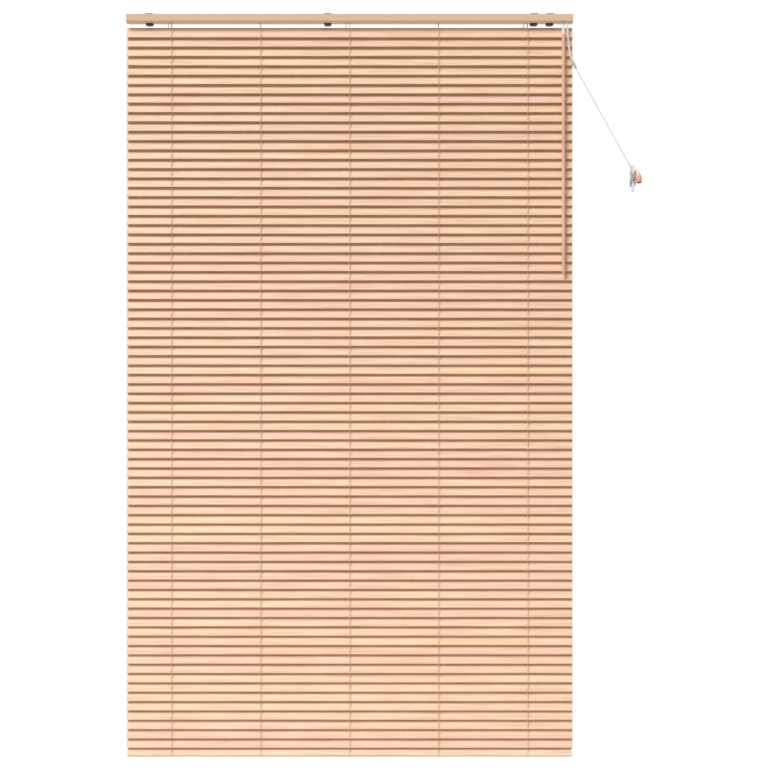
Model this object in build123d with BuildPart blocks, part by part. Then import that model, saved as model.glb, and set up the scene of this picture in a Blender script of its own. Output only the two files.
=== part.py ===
from build123d import *
import math
import os

os.makedirs("parts", exist_ok=True)

# X runs along the headrail, the wall is the plane Y = 0 with the room at -Y, and Z is up.
# The origin lies on the wall, midway between the outer brackets' screw holes.
# Lengths are in millimetres and angles in degrees.
overrun = 30

# Headrail: a folded steel channel, open at the top
rail_length = 999
rail_depth = 28
rail_height = 18.5
rail_sheet = 0.8
rail_lip = 3.2
rail_front_radius = 5
rail_back_radius = 1.6
rail_wall_gap = 3.5
cap_plate = 1.5
cap_spigot = 4
cap_spigot_wall = 2
cap_clearance = 0.15

# Slats
slat_width = 25
slat_thick = 2.4
slat_edge = 0.5
slat_count = 77
slat_pitch = 21
slat_tilt = 65
slat_plane_y = -14.5
first_slat_z = -29.9

# Ladder cords
ladder_count = 5
ladder_end_inset = 99.5
string_width = 1.2
string_thick = 1
rung_width = 1
rung_thick = 0.6
ladder_clearance = 0.05

# Bottom rail
foot_width = 25
foot_thick = 6
foot_end_inset = 2
foot_cord_share = 0.75
foot_radius = 1
foot_tilt = 45
foot_drop = 20.1
plug_radius = 5.5
plug_height = 2

# Lift cords behind the slats
cord_diameter = 1.4
cord_plane_y = -5.9
cord_offset_x = -8
cord_hole_radius = 1
lift_ladders = (0, 2, 4)
lane_base_z = 0.95
lane_step = 1.65
peg_radius = 1.15
peg_clearance = 0.05
peg_post_width = 2.8
peg_post_depth = 1.9

# Tilt rod, drums and cradles
rod_flats = 4
rod_end_inset = 29.5
rod_clearance = 0.05
drum_groove_width = 3
drum_flange_width = 3
drum_flange_lip = 0.55
cradle_clearance = 0.08
cradle_wall_gap = 0.3
cradle_wall = 2.4
cradle_half_depth = 7.7
cradle_top_z = -2
cradle_base = 1.05
cradle_reach_x = 11
string_notch = 2.4
ladder_slot_width = 4

# Tilter: worm wheel on the rod, and a worm whose shaft leans forward out of the headrail
tilter_inset = 20.5
wheel_teeth = 12
wheel_pitch_radius = 4.6
wheel_addendum = 0.55
wheel_dedendum = 0.8
wheel_width = 4
wheel_hub_radius = 3.2
tooth_root_share = 0.42
tooth_tip_share = 0.2
worm_pitch_radius = 2.4
worm_addendum = 0.55
worm_core_radius = 1.7
worm_turns = 3
thread_root_share = 0.4
thread_tip_share = 0.22
worm_lean = 32
worm_collar_radius = 2.8
worm_collar = 0.8
worm_shaft_radius = 1.5
eye_z = -15
eye_radius = 2.1
eye_wire_radius = 0.6
tilter_half_width = 5.5
tilter_cavity_half = 3.6
tilter_back_y = -7.1
tilter_top_z = 7.5
tilter_clearance = 0.3
tilter_chamfer = 4.1
shaft_hole_radius = 2.6

# Wand, hung on a hook in the eye
hook_radius = 3.4
hook_wire_radius = 0.6
hook_stem_radius = 0.8
hook_boss_radius = 1.5
hook_boss_width = 1.6
pin_radius = 0.8
pin_length = 6.4
pin_drop = 3.7
pin_clearance = 0.06
sleeve_radius = 4
sleeve_length = 12
sleeve_above_pin = 1.6
sleeve_slot = 2.2
sleeve_slot_depth = 3.6
socket_radius = 3
socket_depth = 5
socket_clearance = 0.05
wand_radius = 3.8
wand_length = 536
wand_tip_radius = 2.4

# Cord lock at the right end of the headrail
lock_left_inset = 14.7
lock_right_inset = 7.7
lock_plate = 0.6
lock_back_y = -6.7
lock_plate_back_y = -9
lock_front_gap = 0.5
lock_top_z = 5
lock_floor = 0.8
lock_cord_inset = 12.7
lock_cord_step = 1.6
lock_turn_radius = 1.5
pulley_y = -23.5
pulley_z = -2
pulley_radius = 2.2
axle_radius = 0.8
axle_clearance = 0.06
roller_radius = 1.5
roller_gap = 0.15
roller_z = -4
roller_travel = 3
roller_end_gap = 0.15
exit_slot_depth = 3.2
exit_below = 1.75

# Brackets and their levers
bracket_end_inset = 50
bracket_pair_spacing = 36
bracket_middle_share = -0.04905
bracket_width = 16
bracket_strip = 1.2
bracket_top_gap = 0.25
bracket_front_gap = 0.3
bracket_seat_gap = 0.05
tongue_gap = 0.15
tongue_reach = 2
flange_reach = 20
screw_radius = 2.25
lever_pivot_y = -11
lever_reach = 10
lever_height = 3.3
lever_gap = 0.05
rivet_radius = 1.5
rivet_head_radius = 3
rivet_head = 0.8
rivet_clearance = 0.05

# Pull cord, bead, cleat and tassel
bead_y = -28
bead_top_reach = -2.9
bead_top_z = -91.2
bead_bottom_reach = 7.9
bead_bottom_z = -112.5
bead_radius = 3.4
bead_end_radius = 2.5
bead_bore_radius = 1.75
bead_bore_depth = 8
strand_ring_radius = 0.95
strand_inset = 1
pull_diameter = 2.2
pull_clearance = 0.1
cleat_reach = 137.5
cleat_z = -357.6
cleat_height = 59
cleat_width = 6.5
cleat_depth = 17
cleat_foot = 12
cleat_horn_root = 6.5
cleat_horn_tip = 3
cleat_neck_half = 15
cleat_foot_half = 17
cleat_hole_radius = 2
cleat_hole_spacing = 12
cleat_edge_radius = 1.2
wrap_half_height = 15
wrap_thick = 1.9
wrap_back_y = -4
wrap_clearance = 0.3
tail_y = -12
tail_start_reach = 6.7
tail_start_rise = 11
tail_bend_reach = 7
tail_bend_rise = 19
tail_bend_radius = 1.5
tail_sink = 3
tassel_y = -22.5
tassel_reach = 9.9
tassel_rise = 14.3
tassel_lean = 7
tassel_length = 26
tassel_top_radius = 2.6
tassel_shoulder_radius = 3.6
tassel_radius = 6.7
tassel_rim_radius = 4.8
tassel_bore_radius = 1.3
tassel_shoulder_share = 0.12
tassel_belly_share = 0.7
tassel_bore_share = 0.2

# Share of a free cord's shorter run that its arc may take
free_run_share = 0.45

# Places worked out from the sizes above
rail_end_x = rail_length / 2
slat_length = rail_length + 2 * cap_plate
foot_length = slat_length - 2 * foot_end_inset
ladder_spacing = 2 * (rail_end_x - ladder_end_inset) / (ladder_count - 1)
rod_left_x = rod_end_inset - rail_end_x
tilter_x = rail_end_x - tilter_inset
lock_left_x = rail_end_x - lock_left_inset
lock_right_x = rail_end_x - lock_right_inset
lock_cord_x = rail_end_x - lock_cord_inset
bracket_end_x = rail_end_x - bracket_end_inset
bracket_middle_x = bracket_middle_share * rail_length
bracket_places_x = (-bracket_end_x, bracket_middle_x, bracket_end_x - bracket_pair_spacing, bracket_end_x)
bead_top = (rail_end_x + bead_top_reach, bead_y, bead_top_z)
bead_bottom = (rail_end_x + bead_bottom_reach, bead_y, bead_bottom_z)
cleat_x = rail_end_x + cleat_reach
tail_start = (cleat_x + tail_start_reach, tail_y, cleat_z + tail_start_rise)
tail_bend = (cleat_x + tail_bend_reach, tail_y, cleat_z + tail_bend_rise)
tassel_top = (cleat_x + tassel_reach, tassel_y, cleat_z + tassel_rise)
rail_back_y = -rail_wall_gap
rail_front_y = rail_back_y - rail_depth
rail_mid_y = (rail_back_y + rail_front_y) / 2
rail_top_z = rail_height / 2
rail_under_z = -rail_height / 2
rail_floor_z = rail_under_z + rail_sheet
cord_radius = cord_diameter / 2
slat_cos = math.cos(math.radians(slat_tilt))
slat_sin = math.sin(math.radians(slat_tilt))
slat_half_depth = (slat_width * slat_cos + slat_thick * slat_sin) / 2
slat_places_z = [first_slat_z - i * slat_pitch for i in range(slat_count)]
string_reach = slat_half_depth + ladder_clearance
front_string_y = slat_plane_y - string_reach - string_thick / 2
back_string_y = slat_plane_y + string_reach + string_thick / 2
ladder_places_x = [(i - (ladder_count - 1) / 2) * ladder_spacing for i in range(ladder_count)]
foot_z = slat_places_z[-1] - foot_drop
foot_slope = math.tan(math.radians(foot_tilt))
foot_cos = math.cos(math.radians(foot_tilt))
foot_sin = math.sin(math.radians(foot_tilt))
drum_radius = string_reach - ladder_clearance
flange_radius = drum_radius + drum_flange_lip
drum_half_width = drum_groove_width / 2 + drum_flange_width
turn_radius = peg_radius + peg_clearance + cord_radius
lane_places_z = [lane_base_z + (len(lift_ladders) - 1 - i) * lane_step for i in range(len(lift_ladders))]
worm_distance = wheel_pitch_radius + worm_pitch_radius
worm_cos = math.cos(math.radians(worm_lean))
worm_sin = math.sin(math.radians(worm_lean))
worm_lead = 2 * math.pi * wheel_pitch_radius / wheel_teeth
worm_length = worm_turns * worm_lead
worm_outer_radius = worm_pitch_radius + worm_addendum
worm_centre = (tilter_x, slat_plane_y - worm_distance * worm_cos, worm_distance * worm_sin)
worm_plane = Plane(origin=worm_centre, x_dir=(0, worm_cos, -worm_sin), z_dir=(0, -worm_sin, -worm_cos))
eye_along = (worm_centre[2] - eye_z) / worm_cos
eye_y = worm_centre[1] - eye_along * worm_sin
eye_centre = (tilter_x, eye_y, eye_z)
pin_z = eye_z - 2 * hook_radius - pin_drop
sleeve_top_z = pin_z + sleeve_above_pin
sleeve_bottom_z = sleeve_top_z - sleeve_length
pulley_reach = pulley_radius + peg_clearance + cord_radius
exit_y = pulley_y - pulley_reach
exit_z = rail_under_z - exit_below
roller_y = exit_y - cord_radius - roller_gap - roller_radius
bead_axis = Vector(*bead_bottom) - Vector(*bead_top)
bead_length = bead_axis.length


def across(x):
    """The plane at x that looks along the headrail, with its first axis along Y and its second along Z."""
    return Plane.YZ.offset(x)


def foot_top(y):
    """Height of the bottom rail's upper face above the point y."""
    return foot_z + foot_thick / 2 / foot_cos + (y - slat_plane_y) * foot_slope


def save(piece, name):
    """Labels a finished piece and writes it to its own file."""
    piece.part.label = name
    export_step(piece.part, f"parts/{name}.step")


def cord_tube(points, radii, diameter):
    """A round cord along straight runs joined by arcs."""
    with BuildPart() as tube:
        with BuildLine() as route:
            if radii:
                FilletPolyline(*points, radius=radii)
            else:
                Line(*points)
        with BuildSketch(Plane(origin=route.line @ 0, z_dir=route.line % 0)):
            Circle(diameter / 2)
        sweep()
    return tube


def free_radii(points):
    """The arc radius for each corner of a free cord's route: as large as its runs allow."""
    radii = []
    for before, corner, after in zip(points, points[1:], points[2:]):
        first = Vector(*corner) - Vector(*before)
        second = Vector(*after) - Vector(*corner)
        half_turn = math.radians(first.get_angle(second) / 2)
        radii.append(free_run_share * min(first.length, second.length) / math.tan(half_turn))
    return radii


# Headrail
with BuildSketch(across(-rail_length / 2)) as rail_inside:
    with Locations((rail_mid_y, 0)):
        Rectangle(rail_depth - 2 * rail_sheet, rail_height - 2 * rail_sheet)
    low_corners = rail_inside.vertices().group_by(Axis.Y)[0].sort_by(Axis.X)
    fillet(low_corners[0], rail_front_radius - rail_sheet)
    low_corners = rail_inside.vertices().group_by(Axis.Y)[0].sort_by(Axis.X)
    fillet(low_corners[-1], rail_back_radius - rail_sheet)
with BuildPart() as headrail:
    with BuildSketch(across(-rail_length / 2)) as rail_section:
        with Locations((rail_mid_y, 0)):
            Rectangle(rail_depth, rail_height)
        low_corners = rail_section.vertices().group_by(Axis.Y)[0].sort_by(Axis.X)
        fillet(low_corners[0], rail_front_radius)
        low_corners = rail_section.vertices().group_by(Axis.Y)[0].sort_by(Axis.X)
        fillet(low_corners[-1], rail_back_radius)
        add(rail_inside.sketch_local, mode=Mode.SUBTRACT)
        with Locations((rail_mid_y, rail_top_z)):
            Rectangle(rail_depth - 2 * rail_lip, rail_height / 2, mode=Mode.SUBTRACT)
    extrude(amount=rail_length)
    with BuildSketch(Plane.XY.offset(rail_under_z - rail_sheet)):
        with Locations(*[(x, slat_plane_y) for x in ladder_places_x]):
            Rectangle(ladder_slot_width, 2 * cradle_half_depth)
        with Locations(*[(ladder_places_x[i] + cord_offset_x, cord_plane_y) for i in lift_ladders]):
            Circle(cord_hole_radius)
        with Locations((lock_cord_x + lock_cord_step, exit_y)):
            Rectangle(2 * lock_cord_step + 2 * cord_diameter, exit_slot_depth)
    extrude(amount=3 * rail_sheet, mode=Mode.SUBTRACT)
    with BuildSketch(worm_plane.offset(worm_length)):
        Circle(shaft_hole_radius)
    extrude(amount=overrun, mode=Mode.SUBTRACT)
save(headrail, "headrail")

# End caps: a plate over each end with a spigot inside the channel
for side, name in ((-1, "end_cap_left"), (1, "end_cap_right")):
    with BuildPart() as end_cap:
        with BuildSketch(across(side * rail_length / 2)):
            with Locations((rail_mid_y, 0)):
                Rectangle(rail_depth, rail_height)
        extrude(amount=side * cap_plate)
        low_edges = end_cap.edges().filter_by(Axis.X).group_by(Axis.Z)[0]
        fillet(low_edges.sort_by(Axis.Y)[0], rail_front_radius)
        with BuildSketch(across(side * (rail_length / 2 - cap_spigot))):
            offset(rail_inside.sketch_local, amount=-cap_clearance)
            with Locations((rail_mid_y, 0)):
                Rectangle(
                    rail_depth - 2 * rail_sheet - 2 * cap_spigot_wall,
                    rail_height - 2 * rail_sheet - 2 * cap_spigot_wall,
                    mode=Mode.SUBTRACT,
                )
        extrude(amount=side * cap_spigot)
    save(end_cap, name)

# Slats, each with its long edges eased
with BuildPart() as slats:
    half_width = slat_width / 2
    half_thick = slat_thick / 2
    eased = [
        (-half_width, half_thick - slat_edge),
        (-half_width, slat_edge - half_thick),
        (slat_edge - half_width, -half_thick),
        (half_width - slat_edge, -half_thick),
        (half_width, slat_edge - half_thick),
        (half_width, half_thick - slat_edge),
        (half_width - slat_edge, half_thick),
        (slat_edge - half_width, half_thick),
    ]
    with BuildSketch(across(-slat_length / 2)):
        with Locations(*[(slat_plane_y, z) for z in slat_places_z]):
            Polygon(*eased, align=None, rotation=slat_tilt)
    extrude(amount=slat_length)
save(slats, "slats")

# Ladder cords: a front and a back string, and under each slat a rung between them
rung_offset = slat_thick / 2 + ladder_clearance
rung_inner = string_reach - 2 * ladder_clearance
rung_slope = slat_sin / slat_cos
rung_top = -rung_offset / slat_cos
rung_low = rung_top - rung_thick / slat_cos
rung = [
    (-rung_inner, rung_top - rung_inner * rung_slope),
    (-rung_inner, rung_low - rung_inner * rung_slope),
    (rung_inner, rung_low + rung_inner * rung_slope),
    (rung_inner, rung_top + rung_inner * rung_slope),
]
for number, x in enumerate(ladder_places_x, start=1):
    with BuildPart() as ladder:
        for string_y in (front_string_y, back_string_y):
            string_low_z = max(foot_top(string_y - string_thick / 2), foot_top(string_y + string_thick / 2))
            string_low_z += ladder_clearance
            with BuildSketch(Plane.XY.offset(string_low_z)):
                with Locations((x, string_y)):
                    Rectangle(string_width, string_thick)
            extrude(amount=-string_low_z)
        with BuildSketch(across(x - rung_width / 2)):
            with Locations(*[(slat_plane_y, z) for z in slat_places_z]):
                Polygon(*rung, align=None)
        extrude(amount=rung_width)
    save(ladder, f"ladder_{number}")

# Bottom rail, drilled for the lift cords, and the plugs under it
with BuildPart() as bottom_rail:
    with BuildSketch(across(-foot_length / 2)):
        with Locations((slat_plane_y, foot_z)):
            RectangleRounded(foot_width, foot_thick, foot_radius, rotation=foot_tilt)
    extrude(amount=foot_length)
    with BuildSketch(Plane.XY.offset(foot_z - foot_width)):
        with Locations(*[(ladder_places_x[i] + cord_offset_x, cord_plane_y) for i in lift_ladders]):
            Circle(cord_hole_radius)
    extrude(amount=2 * foot_width, mode=Mode.SUBTRACT)
save(bottom_rail, "bottom_rail")

foot_under = Plane(
    origin=(0, slat_plane_y + foot_thick / 2 * foot_sin, foot_z - foot_thick / 2 * foot_cos),
    x_dir=(1, 0, 0),
    z_dir=(0, foot_sin, -foot_cos),
)
with BuildPart() as cord_plugs:
    with BuildSketch(foot_under):
        with Locations(*[(x, -foot_radius) for x in ladder_places_x]):
            Circle(plug_radius)
    extrude(amount=plug_height)
save(cord_plugs, "cord_plugs")

# Tilt rod, a hexagon with flats above and below
hexagon_radius = rod_flats / math.sqrt(3)
bore_radius = (rod_flats + 2 * rod_clearance) / math.sqrt(3)
rod_right_x = tilter_x + tilter_half_width
with BuildPart() as tilt_rod:
    with BuildSketch(across(rod_left_x)):
        with Locations((slat_plane_y, 0)):
            RegularPolygon(hexagon_radius, 6)
    extrude(amount=rod_right_x - rod_left_x)
save(tilt_rod, "tilt_rod")

# Ladder drums on the rod: the strings hang from the groove
for number, x in enumerate(ladder_places_x, start=1):
    with BuildPart() as drum:
        with BuildSketch(across(x - drum_half_width)):
            with Locations((slat_plane_y, 0)):
                Circle(drum_radius)
        extrude(amount=2 * drum_half_width)
        for flange_x in (x - drum_half_width, x + drum_groove_width / 2):
            with BuildSketch(across(flange_x)):
                with Locations((slat_plane_y, 0)):
                    Circle(flange_radius)
            extrude(amount=drum_flange_width)
        with BuildSketch(across(x - drum_half_width)):
            with Locations((slat_plane_y, 0)):
                RegularPolygon(bore_radius, 6)
        extrude(amount=2 * drum_half_width, mode=Mode.SUBTRACT)
    save(drum, f"ladder_drum_{number}")

# Cradles on the headrail's floor: a saddle under each drum flange, and at the lift cords a peg
for index, x in enumerate(ladder_places_x):
    saddle_inner = drum_groove_width / 2 + cradle_wall_gap
    saddle_height = cradle_top_z - rail_floor_z
    with BuildPart() as cradle:
        with BuildSketch(Plane.XY.offset(rail_floor_z)):
            with Locations((x, slat_plane_y)):
                Rectangle(2 * (saddle_inner + cradle_wall), 2 * cradle_half_depth)
        extrude(amount=saddle_height)
        with BuildSketch(Plane.XY.offset(rail_floor_z)):
            with Locations((x, slat_plane_y)):
                Rectangle(2 * cradle_reach_x, 2 * cradle_half_depth)
        extrude(amount=cradle_base)
        with BuildSketch(Plane.XY.offset(rail_floor_z + cradle_base)):
            with Locations((x, slat_plane_y)):
                Rectangle(2 * saddle_inner, 2 * cradle_half_depth)
        extrude(amount=saddle_height, mode=Mode.SUBTRACT)
        with BuildSketch(across(x - cradle_reach_x)):
            with Locations((slat_plane_y, 0)):
                Circle(flange_radius + cradle_clearance)
        extrude(amount=2 * cradle_reach_x, mode=Mode.SUBTRACT)
        notch_y = cradle_half_depth - string_notch / 2
        with BuildSketch(Plane.XY.offset(rail_floor_z)):
            with Locations((x, slat_plane_y - notch_y), (x, slat_plane_y + notch_y)):
                Rectangle(2 * saddle_inner, string_notch)
        extrude(amount=saddle_height, mode=Mode.SUBTRACT)
        if index in lift_ladders:
            peg_z = lane_places_z[lift_ladders.index(index)] - turn_radius
            peg_x = x + cord_offset_x + turn_radius
            post_back_y = slat_plane_y + cradle_half_depth
            with BuildSketch(Plane.XY.offset(rail_floor_z)):
                with Locations((peg_x, post_back_y - peg_post_depth / 2)):
                    Rectangle(peg_post_width, peg_post_depth)
            extrude(amount=peg_z + peg_radius - rail_floor_z)
            with BuildSketch(Plane.XZ.offset(-post_back_y)):
                with Locations((peg_x, peg_z)):
                    Circle(peg_radius)
            extrude(amount=-(cord_plane_y + cord_diameter - post_back_y))
    save(cradle, f"cradle_{index + 1}")

# Worm wheel: straight trapezoid teeth and a hub that turns in the tilter housing
with BuildPart() as worm_wheel:
    root_radius = wheel_pitch_radius - wheel_dedendum
    tip_radius = wheel_pitch_radius + wheel_addendum
    root_half = tooth_root_share * worm_lead / 2
    tip_half = tooth_tip_share * worm_lead / 2
    with BuildSketch(across(tilter_x - tilter_half_width)):
        with Locations((slat_plane_y, 0)):
            Circle(wheel_hub_radius)
    extrude(amount=2 * tilter_half_width)
    with BuildSketch(across(tilter_x - wheel_width / 2)):
        with Locations((slat_plane_y, 0)):
            Circle(root_radius)
            with PolarLocations(0, wheel_teeth, start_angle=180 - worm_lean):
                Polygon(
                    (wheel_hub_radius, -root_half),
                    (root_radius, -root_half),
                    (tip_radius, -tip_half),
                    (tip_radius, tip_half),
                    (root_radius, root_half),
                    (wheel_hub_radius, root_half),
                    align=None,
                )
    extrude(amount=wheel_width)
    with BuildSketch(across(tilter_x - tilter_half_width)):
        with Locations((slat_plane_y, 0)):
            RegularPolygon(bore_radius, 6)
    extrude(amount=2 * tilter_half_width, mode=Mode.SUBTRACT)
save(worm_wheel, "worm_wheel")

# Worm shaft: a single-start thread, a collar, the shaft and the eye at its end
with BuildPart() as worm_thread:
    thread_low = worm_core_radius - worm_addendum / 2
    with BuildLine() as thread_path:
        Helix(worm_lead, worm_length, worm_pitch_radius, center=(0, 0, -worm_length / 2))
    with BuildSketch(Plane(origin=thread_path.line @ 0, x_dir=(1, 0, 0), z_dir=thread_path.line % 0)):
        Polygon(
            (thread_low - worm_pitch_radius, -thread_root_share * worm_lead / 2),
            (worm_addendum, -thread_tip_share * worm_lead / 2),
            (worm_addendum, thread_tip_share * worm_lead / 2),
            (thread_low - worm_pitch_radius, thread_root_share * worm_lead / 2),
            align=None,
        )
    sweep(is_frenet=True)
with BuildPart() as worm_shaft:
    add(worm_plane * worm_thread.part)
    with BuildSketch(worm_plane.offset(-worm_length / 2 - worm_lead / 2)):
        Circle(worm_core_radius)
    extrude(amount=worm_length + worm_lead)
    with BuildSketch(worm_plane.offset(worm_length / 2 + worm_lead / 2)):
        Circle(worm_collar_radius)
    extrude(amount=worm_collar)
    with BuildSketch(worm_plane.offset(worm_length / 2)):
        Circle(worm_shaft_radius)
    extrude(amount=eye_along - worm_length / 2 - eye_radius)
    eye_axis = Axis(eye_centre, (0, -worm_cos, worm_sin))
    with BuildSketch(Plane(origin=eye_centre, x_dir=(1, 0, 0), z_dir=(0, worm_sin, worm_cos))):
        with Locations((eye_radius, 0)):
            Circle(eye_wire_radius)
    revolve(axis=eye_axis)
save(worm_shaft, "worm_shaft")

# Tilter housing: an open-topped block that carries the wheel's hub and the worm's shaft
with BuildPart() as tilter_housing:
    housing_front_y = rail_front_y + rail_sheet + tilter_clearance
    housing_depth = tilter_back_y - housing_front_y
    housing_left_x = tilter_x - tilter_half_width
    cavity_reach = wheel_pitch_radius + wheel_addendum + tilter_clearance
    with BuildSketch(across(housing_left_x)):
        with Locations(((tilter_back_y + housing_front_y) / 2, (tilter_top_z + rail_floor_z) / 2)):
            Rectangle(housing_depth, tilter_top_z - rail_floor_z)
    extrude(amount=2 * tilter_half_width)
    low_front = tilter_housing.edges().filter_by(Axis.X).group_by(Axis.Z)[0].sort_by(Axis.Y)[0]
    chamfer(low_front, tilter_chamfer)
    with BuildSketch(across(tilter_x - tilter_cavity_half)):
        with Locations((slat_plane_y, 0)):
            Circle(cavity_reach)
        with Locations((slat_plane_y, tilter_top_z)):
            Rectangle(2 * cavity_reach, 2 * tilter_top_z)
    extrude(amount=2 * tilter_cavity_half, mode=Mode.SUBTRACT)
    with BuildSketch(across(housing_left_x)):
        with Locations((slat_plane_y, 0)):
            Circle(wheel_hub_radius + rod_clearance)
        with Locations((slat_plane_y, tilter_top_z)):
            Rectangle(2 * (wheel_hub_radius + rod_clearance), 2 * tilter_top_z)
    extrude(amount=2 * tilter_half_width, mode=Mode.SUBTRACT)
    seat_along = worm_length / 2 + worm_lead / 2 + worm_collar + rod_clearance
    with BuildSketch(worm_plane.offset(seat_along)):
        Circle(worm_outer_radius + tilter_clearance)
    extrude(amount=-overrun, mode=Mode.SUBTRACT)
    with BuildSketch(worm_plane.offset(seat_along)):
        Circle(worm_shaft_radius + rod_clearance)
    extrude(amount=overrun, mode=Mode.SUBTRACT)
save(tilter_housing, "tilter_housing")

# Wand hook: a loop through the eye, a stem, and a cross pin for the sleeve
with BuildPart() as wand_hook:
    loop_centre = (tilter_x, eye_y, eye_z - hook_radius)
    with BuildSketch(Plane(origin=loop_centre, x_dir=(0, 1, 0), z_dir=(0, 0, 1))):
        with Locations((hook_radius, 0)):
            Circle(hook_wire_radius)
    revolve(axis=Axis(loop_centre, (1, 0, 0)))
    with BuildSketch(Plane.XY.offset(pin_z)):
        with Locations((tilter_x, eye_y)):
            Circle(hook_stem_radius)
    extrude(amount=pin_drop)
    with BuildSketch(across(tilter_x - hook_boss_width / 2)):
        with Locations((eye_y, pin_z)):
            Circle(hook_boss_radius)
    extrude(amount=hook_boss_width)
    with BuildSketch(across(tilter_x - pin_length / 2)):
        with Locations((eye_y, pin_z)):
            Circle(pin_radius)
    extrude(amount=pin_length)
save(wand_hook, "wand_hook")

# Wand sleeve: forked over the hook's boss, with a socket for the wand below
with BuildPart() as wand_sleeve:
    with BuildSketch(Plane.XY.offset(sleeve_bottom_z)):
        with Locations((tilter_x, eye_y)):
            Circle(sleeve_radius)
    extrude(amount=sleeve_length)
    with BuildSketch(Plane.XY.offset(sleeve_bottom_z)):
        with Locations((tilter_x, eye_y)):
            Circle(socket_radius)
    extrude(amount=socket_depth, mode=Mode.SUBTRACT)
    with BuildSketch(Plane.XY.offset(sleeve_top_z - sleeve_slot_depth)):
        with Locations((tilter_x, eye_y)):
            Rectangle(sleeve_slot, 2 * sleeve_radius)
    extrude(amount=sleeve_slot_depth, mode=Mode.SUBTRACT)
    with BuildSketch(across(tilter_x - sleeve_radius)):
        with Locations((eye_y, pin_z)):
            Circle(pin_radius + pin_clearance)
    extrude(amount=2 * sleeve_radius, mode=Mode.SUBTRACT)
save(wand_sleeve, "wand_sleeve")

# Wand: a turned rod with a neck in the sleeve and an eased lower end
with BuildPart() as wand:
    neck_top_z = sleeve_bottom_z + socket_depth - socket_clearance
    wand_low_z = sleeve_bottom_z - wand_length
    with BuildSketch(Plane.XZ.offset(-eye_y)):
        with BuildLine():
            Polyline(
                (tilter_x, neck_top_z),
                (tilter_x + socket_radius - socket_clearance, neck_top_z),
                (tilter_x + socket_radius - socket_clearance, sleeve_bottom_z),
                (tilter_x + wand_radius, sleeve_bottom_z),
                (tilter_x + wand_radius, wand_low_z + wand_radius),
                (tilter_x + wand_tip_radius, wand_low_z),
                (tilter_x, wand_low_z),
                close=True,
            )
        make_face()
    revolve(axis=Axis((tilter_x, eye_y, 0), (0, 0, 1)))
save(wand, "wand")

# Cord lock: two plates on a floor, with a post that turns the cords to the front
lock_front_y = rail_front_y + rail_sheet + lock_front_gap
lock_width = lock_right_x - lock_left_x
roller_slot = 2 * (axle_radius + axle_clearance)
with BuildPart() as cord_lock_housing:
    plate_height = lock_top_z - rail_floor_z
    plate_depth = lock_plate_back_y - lock_front_y
    for plate_x in (lock_left_x, lock_right_x - lock_plate):
        with BuildSketch(across(plate_x)):
            with Locations(((lock_front_y + lock_plate_back_y) / 2, (lock_top_z + rail_floor_z) / 2)):
                Rectangle(plate_depth, plate_height)
        extrude(amount=lock_plate)
    with BuildSketch(across(lock_left_x)):
        with Locations(((lock_front_y + lock_back_y) / 2, rail_floor_z + lock_floor / 2)):
            Rectangle(lock_back_y - lock_front_y, lock_floor)
    extrude(amount=lock_width)
    with BuildSketch(across(lock_left_x)):
        with Locations((lock_front_y, rail_floor_z)):
            Rectangle(math.sqrt(2) * tilter_chamfer, math.sqrt(2) * tilter_chamfer, rotation=45)
    extrude(amount=lock_width, mode=Mode.SUBTRACT)
    post_radius = lock_turn_radius - cord_radius - peg_clearance
    with BuildSketch(Plane.XY.offset(rail_floor_z)):
        with Locations((lock_cord_x - lock_turn_radius, cord_plane_y - lock_turn_radius)):
            Circle(post_radius)
    extrude(amount=plate_height)
    with BuildSketch(Plane.XY.offset(rail_floor_z)):
        with Locations((lock_cord_x + lock_cord_step, exit_y)):
            Rectangle(2 * lock_cord_step + 2 * cord_diameter, exit_slot_depth)
    extrude(amount=lock_floor, mode=Mode.SUBTRACT)
    with BuildSketch(across(lock_left_x)):
        with Locations((pulley_y, pulley_z)):
            Circle(axle_radius + axle_clearance)
        with Locations((roller_y, roller_z + roller_travel / 2)):
            SlotOverall(roller_travel + roller_slot, roller_slot, rotation=90)
    extrude(amount=lock_width, mode=Mode.SUBTRACT)
save(cord_lock_housing, "cord_lock_housing")

for name, centre, radius in (
    ("cord_guide_pulley", (pulley_y, pulley_z), pulley_radius),
    ("cord_lock_roller", (roller_y, roller_z), roller_radius),
):
    barrel_left_x = lock_left_x + lock_plate + roller_end_gap
    with BuildPart() as roller:
        with BuildSketch(across(lock_left_x)):
            with Locations(centre):
                Circle(axle_radius)
        extrude(amount=lock_width)
        with BuildSketch(across(barrel_left_x)):
            with Locations(centre):
                Circle(radius)
        extrude(amount=lock_width - 2 * lock_plate - 2 * roller_end_gap)
    save(roller, name)

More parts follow.
